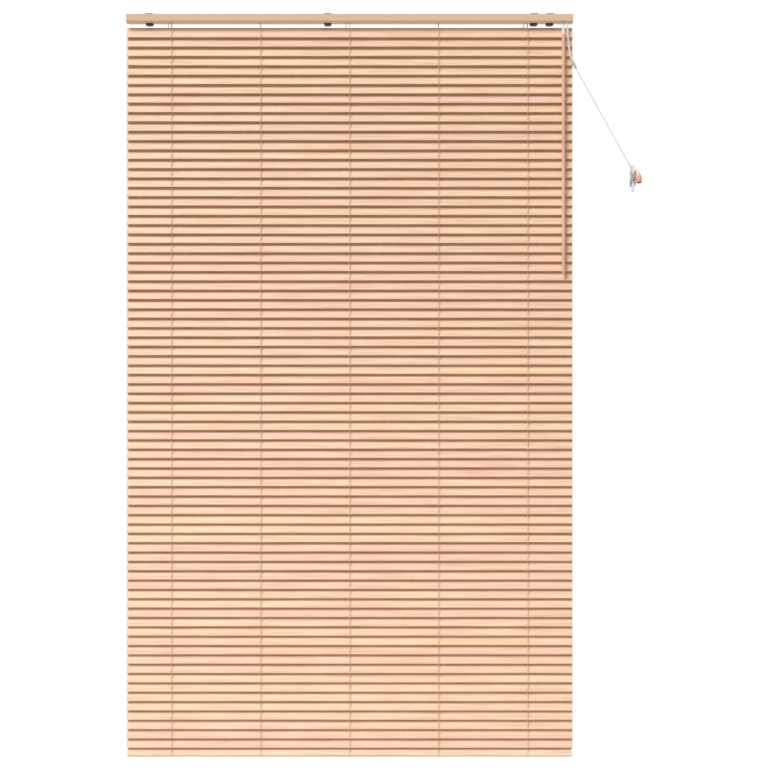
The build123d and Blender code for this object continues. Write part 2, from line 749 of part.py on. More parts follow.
# Brackets: a bent strip round the headrail's back, with a tongue under the front lip
plate_under_z = rail_top_z + bracket_top_gap
tongue_top_z = rail_top_z - rail_sheet - bracket_seat_gap
tongue_back_y = rail_front_y + rail_lip + tongue_gap
flange_top_z = rail_under_z - bracket_seat_gap
flange_low_z = flange_top_z - bracket_strip
lever_top_z = flange_low_z - lever_gap
lever_low_z = lever_top_z - lever_height
for number, x in enumerate(bracket_places_x, start=1):
    with BuildPart() as bracket:
        with BuildSketch(across(x - bracket_width / 2)):
            with BuildLine():
                Polyline(
                    (0, flange_low_z),
                    (0, plate_under_z + bracket_strip),
                    (rail_front_y + bracket_front_gap, plate_under_z + bracket_strip),
                    (rail_front_y + bracket_front_gap, plate_under_z),
                    (tongue_back_y, plate_under_z),
                    (tongue_back_y, tongue_top_z),
                    (tongue_back_y - tongue_reach, tongue_top_z),
                    (tongue_back_y - tongue_reach, tongue_top_z - bracket_strip),
                    (tongue_back_y + bracket_strip, tongue_top_z - bracket_strip),
                    (tongue_back_y + bracket_strip, plate_under_z),
                    (-bracket_strip, plate_under_z),
                    (-bracket_strip, flange_top_z),
                    (-flange_reach, flange_top_z),
                    (-flange_reach, flange_low_z),
                    close=True,
                )
            make_face()
        extrude(amount=bracket_width)
        with BuildSketch(Plane.XZ.offset(-overrun)):
            with Locations((x, 0)):
                Circle(screw_radius)
        extrude(amount=overrun + bracket_strip * 2, mode=Mode.SUBTRACT)
        with BuildSketch(Plane.XY.offset(flange_low_z)):
            with Locations((x, lever_pivot_y)):
                Circle(rivet_radius + rivet_clearance)
        extrude(amount=bracket_strip, mode=Mode.SUBTRACT)
    save(bracket, f"bracket_{number}")
    with BuildPart() as lever:
        with BuildSketch(Plane.XY.offset(lever_low_z)):
            with Locations((x, lever_pivot_y)):
                Circle(bracket_width / 2)
            with Locations((x, lever_pivot_y - lever_reach / 2)):
                Rectangle(bracket_width, lever_reach)
            with Locations((x, lever_pivot_y)):
                Circle(rivet_radius + rivet_clearance, mode=Mode.SUBTRACT)
        extrude(amount=lever_height)
    save(lever, f"bracket_lever_{number}")

with BuildPart() as lever_rivets:
    with BuildSketch(Plane.XY.offset(lever_low_z - lever_gap)):
        with Locations(*[(x, lever_pivot_y) for x in bracket_places_x]):
            Circle(rivet_radius)
    extrude(amount=flange_top_z - lever_low_z)
    with BuildSketch(Plane.XY.offset(lever_low_z - lever_gap)):
        with Locations(*[(x, lever_pivot_y) for x in bracket_places_x]):
            Circle(rivet_head_radius)
    extrude(amount=-rivet_head)
save(lever_rivets, "lever_rivets")

# Bead that joins the strands: a barrel with a wide bore above and a narrow one below
bead_plane = Plane(origin=bead_top, x_dir=(0, 1, 0), z_dir=bead_axis.normalized())
bead_section = Plane(origin=bead_top, x_dir=(0, 1, 0), z_dir=bead_plane.z_dir.cross(Vector(0, 1, 0)))
pull_bore_radius = pull_diameter / 2 + pull_clearance
with BuildPart() as cord_bead:
    with BuildSketch(bead_section):
        with BuildLine():
            Polyline(
                (bead_end_radius, 0),
                (bead_bore_radius, 0),
                (bead_bore_radius, -bead_bore_depth),
                (pull_bore_radius, -bead_bore_depth),
                (pull_bore_radius, -bead_length),
                (bead_end_radius, -bead_length),
            )
            ThreePointArc((bead_end_radius, -bead_length), (bead_radius, -bead_length / 2), (bead_end_radius, 0))
        make_face()
    revolve(axis=Axis(bead_top, bead_plane.z_dir))
save(cord_bead, "cord_bead")

# Lift cords: the drop behind the slats, the run in the headrail, and the strand to the bead
strand_bends = (
    ((0.9, 0.25, -26), (4.2, 0.8, -59)),
    ((0.8, -0.1, -26), (3.9, 0.05, -59)),
    ((0.7, 0.6, -26), (3.6, 1.9, -59)),
)
for index, ladder_index in enumerate(lift_ladders):
    drop_x = ladder_places_x[ladder_index] + cord_offset_x
    lane_z = lane_places_z[index]
    turn_x = lock_cord_x + index * lock_cord_step
    drop_low_z = foot_top(cord_plane_y) - foot_cord_share * foot_thick / foot_cos
    drop = cord_tube([(drop_x, cord_plane_y, drop_low_z), (drop_x, cord_plane_y, rail_under_z)], None, cord_diameter)
    save(drop, f"lift_cord_{index + 1}")
    run = cord_tube(
        [
            (drop_x, cord_plane_y, rail_under_z),
            (drop_x, cord_plane_y, lane_z),
            (turn_x, cord_plane_y, lane_z),
            (turn_x, exit_y, pulley_z + pulley_reach),
            (turn_x, exit_y, exit_z),
        ],
        [turn_radius, lock_turn_radius + index * lock_cord_step, pulley_reach],
        cord_diameter,
    )
    save(run, f"headrail_cord_{index + 1}")
    angle = math.radians(120 * index - 90)
    inlet = bead_plane.from_local_coords(
        (strand_ring_radius * math.cos(angle), strand_ring_radius * math.sin(angle), strand_inset)
    )
    exit_point = (turn_x, exit_y, exit_z)
    bends = [(turn_x + dx, exit_y - dy, exit_z + dz) for dx, dy, dz in strand_bends[index]]
    strand_route = [exit_point, *bends, tuple(inlet)]
    strand_radii = free_radii(strand_route)
    strand = cord_tube(strand_route, strand_radii, cord_diameter)
    print("strand", index + 1, "radii", [round(r) for r in strand_radii], "route", strand_route)
    save(strand, f"cord_strand_{index + 1}")

# Cleat on the wall: a foot, a neck and two horns
with BuildPart() as cleat:
    horn_back = -(cleat_depth - cleat_horn_root)
    half_height = cleat_height / 2
    with BuildSketch(across(cleat_x - cleat_width / 2)):
        with BuildLine():
            Polyline(
                (0, cleat_z + cleat_foot_half),
                (0, cleat_z - cleat_foot_half),
                (horn_back, cleat_z - cleat_neck_half),
                (cleat_horn_tip - cleat_depth, cleat_z - half_height),
                (-cleat_depth, cleat_z - half_height),
                (-cleat_depth, cleat_z + half_height),
                (cleat_horn_tip - cleat_depth, cleat_z + half_height),
                (horn_back, cleat_z + cleat_neck_half),
                close=True,
            )
        make_face()
    extrude(amount=cleat_width)
    fillet(cleat.faces().sort_by(Axis.Y)[0].edges(), cleat_edge_radius)
    hole_places = [(cleat_x, cleat_z - cleat_hole_spacing / 2), (cleat_x, cleat_z + cleat_hole_spacing / 2)]
    with BuildSketch(Plane.XZ):
        with Locations(*hole_places):
            Circle(cleat_hole_radius)
    extrude(amount=cleat_depth, mode=Mode.SUBTRACT)
save(cleat, "cleat")

# Turns of cord on the cleat, as one solid of their outer shape round three of its sides
with BuildPart() as cord_wrap:
    inner_half = cleat_width / 2 + wrap_clearance
    wrap_front_y = -cleat_depth - wrap_clearance - wrap_thick
    with BuildSketch(Plane.XY.offset(cleat_z - wrap_half_height)):
        with Locations((cleat_x, (wrap_back_y + wrap_front_y) / 2)):
            Rectangle(2 * (inner_half + wrap_thick), wrap_back_y - wrap_front_y)
        with Locations((cleat_x, wrap_back_y)):
            Rectangle(2 * inner_half, 2 * (wrap_back_y + cleat_depth + wrap_clearance), mode=Mode.SUBTRACT)
    extrude(amount=2 * wrap_half_height)
save(cord_wrap, "cord_wrap")

# Pull cord, taut from the bead to the turns on the cleat
pull_start = bead_plane.from_local_coords((0, 0, bead_bore_depth + pull_diameter))
pull_end = (cleat_x - inner_half - wrap_thick / 2, -cleat_depth / 2, cleat_z + wrap_half_height + pull_diameter / 2)
pull_cord = cord_tube([tuple(pull_start), bead_bottom, pull_end], [bead_length], pull_diameter)
print("pull cord", tuple(pull_start), bead_bottom, pull_end)
save(pull_cord, "pull_cord")

# Tail and tassel
tassel_axis = Vector(math.sin(math.radians(tassel_lean)), 0, -math.cos(math.radians(tassel_lean)))
tail_over = tuple(Vector(*tassel_top) - tassel_axis * (tail_bend_rise - tassel_rise))
tail_end = tuple(Vector(*tassel_top) + tassel_axis * tail_sink)
tail = cord_tube([tail_start, tail_bend, tail_over, tail_end], [tail_bend_radius] * 2, pull_diameter)
save(tail, "tassel_cord")

tassel_section = Plane(origin=tassel_top, x_dir=(0, 1, 0), z_dir=tassel_axis.cross(Vector(0, 1, 0)))
with BuildPart() as tassel:
    with BuildSketch(tassel_section):
        with BuildLine():
            shoulder = (tassel_shoulder_radius, -tassel_shoulder_share * tassel_length)
            belly = (tassel_radius, -tassel_belly_share * tassel_length)
            rim = (tassel_rim_radius, -tassel_length)
            Polyline(
                rim,
                (0, -tassel_length),
                (0, -tassel_bore_share * tassel_length),
                (tassel_bore_radius, -tassel_bore_share * tassel_length),
                (tassel_bore_radius, 0),
                (tassel_top_radius, 0),
                shoulder,
            )
            ThreePointArc(shoulder, belly, rim)
        make_face()
    revolve(axis=Axis(tassel_top, tassel_axis))
save(tassel, "tassel")
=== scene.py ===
# %% [markdown]
# # A wooden venetian blind
# The blind hangs on a wall: a painted headrail on four brackets, a stack of closed wooden slats on
# five ladder cords, a bottom rail, a tilt wand, and a lift cord that is wound on a cleat.
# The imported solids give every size, and this file gives the looks. All lengths are in metres.

# %% Load the frame
import math

import bmesh
import bpy
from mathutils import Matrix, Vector


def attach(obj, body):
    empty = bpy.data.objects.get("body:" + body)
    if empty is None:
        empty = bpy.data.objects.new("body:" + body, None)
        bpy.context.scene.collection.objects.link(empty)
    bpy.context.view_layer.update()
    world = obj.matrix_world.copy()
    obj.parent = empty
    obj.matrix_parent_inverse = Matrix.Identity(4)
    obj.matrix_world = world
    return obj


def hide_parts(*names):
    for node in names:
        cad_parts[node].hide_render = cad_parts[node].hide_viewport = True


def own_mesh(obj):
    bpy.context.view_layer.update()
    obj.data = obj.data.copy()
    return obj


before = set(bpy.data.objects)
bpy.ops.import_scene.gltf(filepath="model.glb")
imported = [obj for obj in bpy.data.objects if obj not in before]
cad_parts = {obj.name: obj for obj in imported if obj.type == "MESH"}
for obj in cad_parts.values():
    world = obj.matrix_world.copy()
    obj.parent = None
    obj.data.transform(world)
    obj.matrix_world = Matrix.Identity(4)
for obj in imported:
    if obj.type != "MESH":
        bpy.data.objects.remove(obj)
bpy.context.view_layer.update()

MM = 0.001
HOME = "headrail_assembly"
scene = bpy.context.scene
print("solids loaded:", len(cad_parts))

# %% [markdown]
# ## Camera
# The view is straight at the blind, level with its middle. A long lens a few metres away changes the
# gaps between the slats only a little from top to bottom. The blind stands left of the middle of the
# picture, so the lens is shifted instead of the camera being turned.

# %% Camera
PICTURE = 768
MM_PER_PIXEL = 2.2491
DISTANCE = 4.3
SLAT_PLANE = -14.5 * MM
BLIND_MIDDLE_PIXEL = 349.65
EYE_HEIGHT = -819.9 * MM
SENSOR = 36
FAR_CLIP = 50
view_width = PICTURE * MM_PER_PIXEL * MM
lens = bpy.data.cameras.new("camera")
lens.sensor_width = SENSOR
lens.lens = SENSOR * DISTANCE / view_width
lens.shift_x = (PICTURE / 2 - BLIND_MIDDLE_PIXEL) / PICTURE
lens.clip_end = FAR_CLIP
camera = bpy.data.objects.new("camera", lens)
camera.location = (0, SLAT_PLANE - DISTANCE, EYE_HEIGHT)
camera.rotation_euler = (math.radians(90), 0, 0)
scene.collection.objects.link(camera)
scene.camera = camera
print("focal length", round(lens.lens, 1), "shift", round(lens.shift_x, 4))

# %% [markdown]
# ## Materials
# Every finish is made of nodes that read Object coordinates, so a pattern stays on its piece from any
# side. A small kit of helpers keeps the trees short: one starts a material, one adds a stretched
# noise, and one adds bump.


# %% Material helpers
WHITE = (1, 1, 1, 1)
GRAIN_STEP = 61
BROAD_SHARE = 0.16
TONE_SHARE = 0.6
PORE_SHARE = 0.55
FINE_RELIEF = 0.05 * MM
SKIN_RELIEF = 0.02 * MM
CLOUD_SCALE = 30
SKIN_SCALE = 900
BRAID_LEAN = math.radians(40)


def srgb(red, green, blue):
    """A colour written as it is seen on a screen, 0 to 255, as the linear value that the shader needs."""
    values = []
    for channel in (red, green, blue):
        share = channel / 255
        values.append(share / 12.92 if share <= 0.04045 else ((share + 0.055) / 1.055) ** 2.4)
    return (*values, 1)


def start_material(name, roughness, metallic=0, specular=0.5):
    """A new node material: returns it with its node tree and its main shader."""
    made = bpy.data.materials.new(name)
    made.use_nodes = True
    shader = made.node_tree.nodes["Principled BSDF"]
    shader.inputs["Roughness"].default_value = roughness
    shader.inputs["Metallic"].default_value = metallic
    shader.inputs["Specular IOR Level"].default_value = specular
    return made, made.node_tree, shader


def stretched_noise(tree, stretch, detail=4, shift=None):
    """Noise on Object coordinates, drawn out by a scale for each axis. A shift socket moves it per piece."""
    place = tree.nodes.new("ShaderNodeTexCoord")
    mapping = tree.nodes.new("ShaderNodeMapping")
    mapping.inputs["Scale"].default_value = stretch
    noise = tree.nodes.new("ShaderNodeTexNoise")
    noise.noise_dimensions = "4D"
    noise.inputs["Scale"].default_value = 1
    noise.inputs["Detail"].default_value = detail
    noise.inputs["Roughness"].default_value = 0.6
    tree.links.new(place.outputs["Object"], mapping.inputs["Vector"])
    tree.links.new(mapping.outputs["Vector"], noise.inputs["Vector"])
    if shift is not None:
        tree.links.new(shift, noise.inputs["W"])
    return noise.outputs["Fac"]


def ramp(tree, value, stops):
    """Colours along a value: stops is a list of (place, colour)."""
    node = tree.nodes.new("ShaderNodeValToRGB")
    elements = node.color_ramp.elements
    while len(elements) < len(stops):
        elements.new(0.5)
    for element, (place, colour) in zip(elements, stops):
        element.position = place
        element.color = colour
    tree.links.new(value, node.inputs["Fac"])
    return node.outputs["Color"]


def blend_colours(tree, share, first, second, mode="MIX"):
    """Mixes two colours, each a socket or a fixed colour, by a share that is a socket or a number."""
    node = tree.nodes.new("ShaderNodeMix")
    node.data_type = "RGBA"
    node.blend_type = mode
    for socket, value in ((node.inputs[0], share), (node.inputs[6], first), (node.inputs[7], second)):
        if isinstance(value, bpy.types.NodeSocket):
            tree.links.new(value, socket)
        else:
            socket.default_value = value
    return node.outputs[2]


def add_bump(tree, shader, height, strength, depth):
    """Fine relief from a height socket, depth in metres."""
    node = tree.nodes.new("ShaderNodeBump")
    node.inputs["Strength"].default_value = strength
    node.inputs["Distance"].default_value = depth
    tree.links.new(height, node.inputs["Height"])
    tree.links.new(node.outputs["Normal"], shader.inputs["Normal"])


def wood(name, tones, fleck, stretch, tone_name=None):
    """Varnished wood: broad bands between tones, fine darker pores, and relief along the grain.
    With a tone_name, each slat's own random value picks its tone and moves its grain."""
    made, tree, shader = start_material(name, 0.42, specular=0.4)
    shift = None
    if tone_name:
        own = tree.nodes.new("ShaderNodeAttribute")
        own.attribute_name = tone_name
        scale_up = tree.nodes.new("ShaderNodeMath")
        scale_up.operation = "MULTIPLY"
        scale_up.inputs[1].default_value = GRAIN_STEP
        tree.links.new(own.outputs["Fac"], scale_up.inputs[0])
        shift = scale_up.outputs[0]
    broad = stretched_noise(tree, [s * BROAD_SHARE for s in stretch], detail=2, shift=shift)
    colour = ramp(tree, broad, [(0.3, tones[0]), (0.52, tones[1]), (0.72, tones[2])])
    if tone_name:
        base = ramp(tree, own.outputs["Fac"], [(0.0, tones[0]), (0.5, tones[1]), (1.0, tones[2])])
        colour = blend_colours(tree, TONE_SHARE, colour, base)
    fine = stretched_noise(tree, stretch, detail=6, shift=shift)
    pores = ramp(tree, fine, [(0.36, fleck), (0.56, WHITE)])
    colour = blend_colours(tree, PORE_SHARE, colour, pores, "MULTIPLY")
    tree.links.new(colour, shader.inputs["Base Color"])
    add_bump(tree, shader, fine, 0.25, FINE_RELIEF)
    return made


def coated(name, colour, mottle, roughness, metallic=0):
    """A paint, moulding or bare metal: its colour with a faint mottle and a fine surface texture."""
    made, tree, shader = start_material(name, roughness, metallic)
    cloud = stretched_noise(tree, (CLOUD_SCALE,) * 3, detail=3)
    tree.links.new(ramp(tree, cloud, [(0.35, colour), (0.7, mottle)]), shader.inputs["Base Color"])
    skin = stretched_noise(tree, (SKIN_SCALE,) * 3, detail=2)
    add_bump(tree, shader, skin, 0.3, SKIN_RELIEF)
    return made


def braid(name, colour, valley_shade, turns):
    """A braided cord: two crossed sets of fine slanting bands, with painted shade in the valleys."""
    made, tree, shader = start_material(name, 0.8, specular=0.2)
    place = tree.nodes.new("ShaderNodeTexCoord")
    heights = []
    for lean in (1, -1):
        mapping = tree.nodes.new("ShaderNodeMapping")
        mapping.inputs["Rotation"].default_value = (0, BRAID_LEAN * lean, BRAID_LEAN * lean)
        wave = tree.nodes.new("ShaderNodeTexWave")
        wave.bands_direction = "Z"
        wave.inputs["Scale"].default_value = turns
        wave.inputs["Distortion"].default_value = 0.6
        tree.links.new(place.outputs["Object"], mapping.inputs["Vector"])
        tree.links.new(mapping.outputs["Vector"], wave.inputs["Vector"])
        heights.append(wave.outputs["Fac"])
    crossed = tree.nodes.new("ShaderNodeMath")
    crossed.operation = "MAXIMUM"
    tree.links.new(heights[0], crossed.inputs[0])
    tree.links.new(heights[1], crossed.inputs[1])
    # The valley colour is painted shade in the creases of the braid.
    shade = ramp(tree, crossed.outputs[0], [(0.2, valley_shade), (0.8, colour)])
    tree.links.new(shade, shader.inputs["Base Color"])
    add_bump(tree, shader, crossed.outputs[0], 0.2, FINE_RELIEF)
    return made


def fade_along(made, axis, low, high, stops):
    """Multiplies a finish by colours that change along one axis of the object, between two places in metres."""
    tree = made.node_tree
    base = tree.nodes["Principled BSDF"].inputs["Base Color"]
    place = tree.nodes.new("ShaderNodeTexCoord")
    split = tree.nodes.new("ShaderNodeSeparateXYZ")
    share = tree.nodes.new("ShaderNodeMapRange")
    share.inputs["From Min"].default_value = low
    share.inputs["From Max"].default_value = high
    tree.links.new(place.outputs["Object"], split.inputs[0])
    tree.links.new(split.outputs[axis], share.inputs["Value"])
    colour = ramp(tree, share.outputs[0], stops)
    tree.links.new(blend_colours(tree, 1, base.links[0].from_socket, colour, "MULTIPLY"), base)


# %% Finishes of this blind
TASSEL_RIM_Z = -369.5 * MM
TASSEL_TOP_Z = -343 * MM
STRANDS_X = 480 * MM
TAIL_X = 650 * MM
ALONG_X = (9, 420, 420)
ALONG_Z = (420, 420, 9)
slat_finish = wood(
    "slat_wood",
    (srgb(247, 206, 182), srgb(245, 212, 180), srgb(249, 220, 181)),
    srgb(228, 190, 165),
    ALONG_X,
    tone_name="slat_tone",
)
rail_finish = wood(
    "bottom_rail_wood",
    (srgb(242, 214, 184), srgb(245, 222, 194), srgb(238, 210, 178)),
    srgb(222, 190, 160),
    ALONG_X,
)
wand_finish = wood(
    "wand_wood",
    (srgb(237, 191, 161), srgb(241, 200, 172), srgb(232, 185, 153)),
    srgb(222, 180, 150),
    ALONG_Z,
)
tassel_finish = wood(
    "tassel_wood",
    (srgb(250, 232, 206), srgb(252, 237, 214), srgb(246, 226, 196)),
    srgb(230, 200, 175),
    ALONG_Z,
)
bead_finish = wood(
    "bead_wood",
    (srgb(222, 206, 184), srgb(229, 214, 192), srgb(212, 192, 166)),
    srgb(214, 196, 178),
    ALONG_Z,
)
headrail_finish = coated("headrail_paint", srgb(233, 200, 166), srgb(230, 195, 160), 0.4)
cap_finish = coated("cap_plastic", srgb(232, 199, 165), srgb(228, 193, 158), 0.5)
bracket_finish = coated("bracket_paint", srgb(78, 56, 44), srgb(66, 47, 38), 0.45)
lever_finish = coated("lever_moulding", srgb(72, 52, 43), srgb(62, 45, 37), 0.5)
steel_finish = coated("drawn_steel", srgb(190, 190, 190), srgb(176, 177, 179), 0.32, metallic=1)
moulded_finish = coated("plain_moulding", srgb(232, 230, 222), srgb(226, 224, 215), 0.5)
white_finish = coated("white_moulding", srgb(246, 245, 241), srgb(240, 238, 233), 0.3)
cleat_finish = coated("cleat_moulding", srgb(234, 240, 246), srgb(228, 235, 243), 0.3)
# Each braid's second colour is painted shade for the valleys of its weave.
cord_finish = braid("cord_braid", srgb(249, 245, 248), srgb(242, 237, 241), 700)
ladder_finish = braid("ladder_weave", srgb(226, 190, 160), srgb(196, 156, 126), 600)
# The tassel fade: painted shade darkens the lower rim, the body keeps a peach tone, and a painted highlight
# pales the top.
tassel_tone_and_painted_light = [
    (0.0, srgb(120, 72, 56)),
    (0.07, srgb(156, 100, 80)),
    (0.15, srgb(244, 204, 184)),
    (0.6, srgb(248, 214, 194)),
    (1.0, WHITE),
]
fade_along(tassel_finish, "Z", TASSEL_RIM_Z, TASSEL_TOP_Z, tassel_tone_and_painted_light)
# The pull cord fade: a cream tint near the bead and at the tail, and painted shade in grey where the turns lie
# wound on the cleat.
cord_tone_and_painted_wrap_shade = [
    (0.1, srgb(255, 248, 234)),
    (0.25, WHITE),
    (0.84, WHITE),
    (0.91, srgb(200, 196, 186)),
    (0.955, srgb(200, 196, 186)),
    (0.975, srgb(255, 250, 238)),
]
fade_along(cord_finish, "X", STRANDS_X, TAIL_X, cord_tone_and_painted_wrap_shade)
print("finishes:", len(bpy.data.materials))

# %% [markdown]
# ## Lift cord outside the headrail
# Three strands leave the headrail and meet in a turned bead. One cord goes on from the bead, taut to the
# upper horn of the cleat, is wound on it in figures of eight, and ends in a wooden tassel. Each is one
# smooth curve. The turns on the cleat are more points of the same curve.

# %% Cord helper
CORD = 1.4 * MM
PULL = 2.2 * MM
BEAD_TOP = (496.6, -28.0, -91.2)
BEAD_FOOT = (507.4, -28.0, -112.5)


def cord_curve(name, points, diameter):
    """A round cord on one smooth spline, through control points given in millimetres."""
    line = bpy.data.curves.new(name, "CURVE")
    line.dimensions = "3D"
    line.bevel_depth = diameter / 2
    line.bevel_resolution = 3
    line.resolution_u = 10
    line.use_fill_caps = True
    spline = line.splines.new("NURBS")
    spline.points.add(len(points) - 1)
    for control, point in zip(spline.points, points):
        control.co = (point[0] * MM, point[1] * MM, point[2] * MM, 1)
    spline.order_u = 3
    spline.use_endpoint_u = True
    line.materials.append(cord_finish)
    piece = bpy.data.objects.new(name, line)
    scene.collection.objects.link(piece)
    return piece


def metres(point):
    """A point given in millimetres, in metres."""
    return tuple(value * MM for value in point)


# %% Strands from the headrail to the bead
strand_routes = [
    [(486.8, -26.45, -11.0), (487.7, -26.7, -37.0), (491.0, -27.25, -70.0), (496.2, -28.0, -92.52)],
    [(488.4, -26.45, -11.0), (489.2, -26.35, -37.0), (492.3, -26.5, -70.0), (497.48, -27.18, -91.88)],
    [(490.0, -26.45, -11.0), (490.7, -27.05, -37.0), (493.6, -28.35, -70.0), (497.48, -28.82, -91.88)],
]
strands = [cord_curve(f"strand_{i + 1}", route, CORD) for i, route in enumerate(strand_routes)]
print("strands:", len(strands))

# %% Pull cord with its turns on the cleat
CLEAT_X = 637.0
CLEAT_Z = -357.6
UNDER_LAYER = -18.2
OVER_LAYER = -20.4
turn_heights = (8.9, 5.6, 2.3, -1.0)
loop_heights = (17.6, 17.2, 16.8, 16.4)
loop_depths = (-2.6, -4.8, -7.0, -9.2)
pull_route = [(501.21, -28.0, -100.3), BEAD_FOOT, (536.6, -23.6, -163.3), (565.8, -19.2, -214.1)]
pull_route += [(595.0, -14.8, -264.9), (624.1, -10.3, -315.7), (634.0, -8.8, -333.0), (634.2, -8.6, -338.6)]
for turn, (height, loop, depth) in enumerate(zip(turn_heights, loop_heights, loop_depths)):
    falling = [
        (-5.6, -14.5, height + 8),
        (-4.7, UNDER_LAYER - 0.4, height + 5),
        (0, UNDER_LAYER, height),
        (4.7, UNDER_LAYER - 0.4, height - 5),
        (5.6, -14.5, height - 9),
        (5.2, depth - 0.6, 1 - loop),
        (0, depth, -loop),
    ]
    rising = [
        (-5.2, depth - 0.6, 1 - loop),
        (-5.6, -15.0, height - 9),
        (-4.7, OVER_LAYER - 0.3, height - 5),
        (0, OVER_LAYER, height),
        (4.7, OVER_LAYER - 0.3, height + 5),
    ]
    over_top = [
        (5.6, -15.0, height + 8),
        (5.2, depth - 0.6, loop - 1),
        (0, depth, loop),
        (-5.2, depth - 0.6, loop - 1),
    ]
    if turn == 0:
        falling[0] = (-5.2, -11.0, 15.5)
    steps = falling + rising + (over_top if turn < len(turn_heights) - 1 else [])
    pull_route += [(CLEAT_X + x, y, CLEAT_Z + z) for x, y, z in steps]
tail = [(6.5, -17.0, 8.0), (6.8, -12.2, 12.0), (7.0, -12.2, 19.6), (9.3, -22.5, 19.9), (10.2, -22.5, 11.8)]
pull_route += [(CLEAT_X + x, y, CLEAT_Z + z) for x, y, z in tail]
pull_cord = cord_curve("lift_pull_cord", pull_route, PULL)
print("pull cord control points:", len(pull_route))

# %% [markdown]
# ## Turned pieces
# The bead and the tassel are turned on a lathe, so each is an outline swept round its own axis.
# The tassel is hollow below, which is the dark mouth that shows from under it, and its lower rim is darkened
# further by painted shade in its finish.


# %% Lathe helper
def turned(name, outline, start, toward, finish, segments=40):
    """Sweeps an outline of (along, radius) in millimetres round the axis from start toward a second point."""
    axis = (Vector(toward) - Vector(start)).normalized()
    side = Vector((0, 1, 0)).cross(axis).normalized()
    other = axis.cross(side)
    work = bmesh.new()
    rings = []
    for along, radius in outline:
        middle = Vector(start) + axis * along
        if radius == 0:
            rings.append([work.verts.new(middle * MM)])
            continue
        ring = []
        for step in range(segments):
            angle = 2 * math.pi * step / segments
            outward = side * math.cos(angle) + other * math.sin(angle)
            ring.append(work.verts.new((middle + outward * radius) * MM))
        rings.append(ring)
    for first, second in zip(rings, rings[1:]):
        for step in range(segments):
            after = (step + 1) % segments
            corners = [first[step % len(first)], first[after % len(first)]]
            corners += [second[after % len(second)], second[step % len(second)]]
            unique = list(dict.fromkeys(corners))
            if len(unique) > 2:
                work.faces.new(unique)
    bmesh.ops.recalc_face_normals(work, faces=work.faces)
    for face in work.faces:
        face.smooth = True
    shape = bpy.data.meshes.new(name)
    work.to_mesh(shape)
    work.free()
    shape.materials.append(finish)
    piece = bpy.data.objects.new(name, shape)
    scene.collection.objects.link(piece)
    return piece


# %% Bead and tassel
bead_length = (Vector(BEAD_FOOT) - Vector(BEAD_TOP)).length
bead_outline = [(8.0, 0), (8.0, 1.75), (0.6, 1.75), (0.1, 2.0), (0.1, 2.3)]
bead_shares = [(0.03, 2.6), (0.12, 2.88), (0.25, 3.17), (0.4, 3.36), (0.5, 3.4)]
bead_shares += [(0.6, 3.36), (0.75, 3.17), (0.88, 2.88), (0.97, 2.6)]
bead_outline += [(share * bead_length, radius) for share, radius in bead_shares]
bead_outline += [(bead_length - up, radius) for up, radius in ((0.1, 2.3), (0.1, 1.2), (1.5, 0.9), (1.5, 0))]
bead = turned("bead", bead_outline, BEAD_TOP, BEAD_FOOT, bead_finish)

tassel_start = (CLEAT_X + 9.9, -22.5, CLEAT_Z + 14.3)
TASSEL_LEAN = math.radians(7)
tassel_end = Vector(tassel_start) + Vector((math.sin(TASSEL_LEAN), 0, -math.cos(TASSEL_LEAN)))
tassel_outline = [
    (3.0, 0), (3.0, 1.3), (0.4, 1.3), (0.0, 1.6), (0.0, 2.1), (0.3, 2.55), (1.2, 2.95), (3.12, 3.6),
    (6.0, 4.94), (9.0, 5.92), (12.0, 6.53), (15.0, 6.79), (18.2, 6.7), (20.5, 6.39), (22.5, 5.96),
    (24.2, 5.46), (25.4, 5.04), (25.9, 4.75), (26.0, 4.4), (25.8, 4.1), (23.0, 3.8), (19.5, 2.9),
    (18.0, 0),
]
tassel = turned("tassel_bell", tassel_outline, tassel_start, tassel_end, tassel_finish)
print("turned pieces:", bead.name, tassel.name)

# %% [markdown]
# ## Slats
# Seventy-seven equal slats hang one below another, so one tree of Geometry Nodes makes a single slat from a
# rounded section and repeats it down a line of points. Each slat keeps a random value for its tone, and a
# very small turn of its own, because cords never hold a slat exactly level with its neighbour.


# %% Helpers for node trees
def node_kit(name, sizes):
    """A new geometry tree with one named input for each size. Returns the tree, an adder and the inputs."""
    tree = bpy.data.node_groups.new(name, "GeometryNodeTree")
    tree.interface.new_socket("Geometry", in_out="OUTPUT", socket_type="NodeSocketGeometry")
    for label, value in sizes.items():
        kind = "NodeSocketInt" if isinstance(value, int) else "NodeSocketFloat"
        socket = tree.interface.new_socket(label, in_out="INPUT", socket_type=kind)
        socket.default_value = value
    inputs = tree.nodes.new("NodeGroupInput").outputs

    def add(kind, sockets=None, **settings):
        node = tree.nodes.new(kind)
        for key, value in settings.items():
            setattr(node, key, value)
        for key, value in (sockets or {}).items():
            if isinstance(value, bpy.types.NodeSocket):
                tree.links.new(value, node.inputs[key])
            else:
                node.inputs[key].default_value = value
        return node

    return tree, add, inputs


def run_tree(name, tree, sizes):
    """Runs a tree on an empty mesh, with its inputs set by identifier, and keeps the result as a plain mesh."""
    holder = bpy.data.objects.new(name + "_tree", bpy.data.meshes.new(name + "_tree"))
    scene.collection.objects.link(holder)
    modifier = holder.modifiers.new("repeat", "NODES")
    modifier.node_group = tree
    for item in tree.interface.items_tree:
        if item.item_type == "SOCKET" and item.in_out == "INPUT":
            modifier[item.identifier] = sizes[item.name]
    evaluated = holder.evaluated_get(bpy.context.evaluated_depsgraph_get())
    shape = bpy.data.meshes.new_from_object(evaluated)
    holder.modifiers.remove(modifier)
    bpy.data.objects.remove(holder)
    shape.name = name
    piece = bpy.data.objects.new(name, shape)
    scene.collection.objects.link(piece)
    return piece


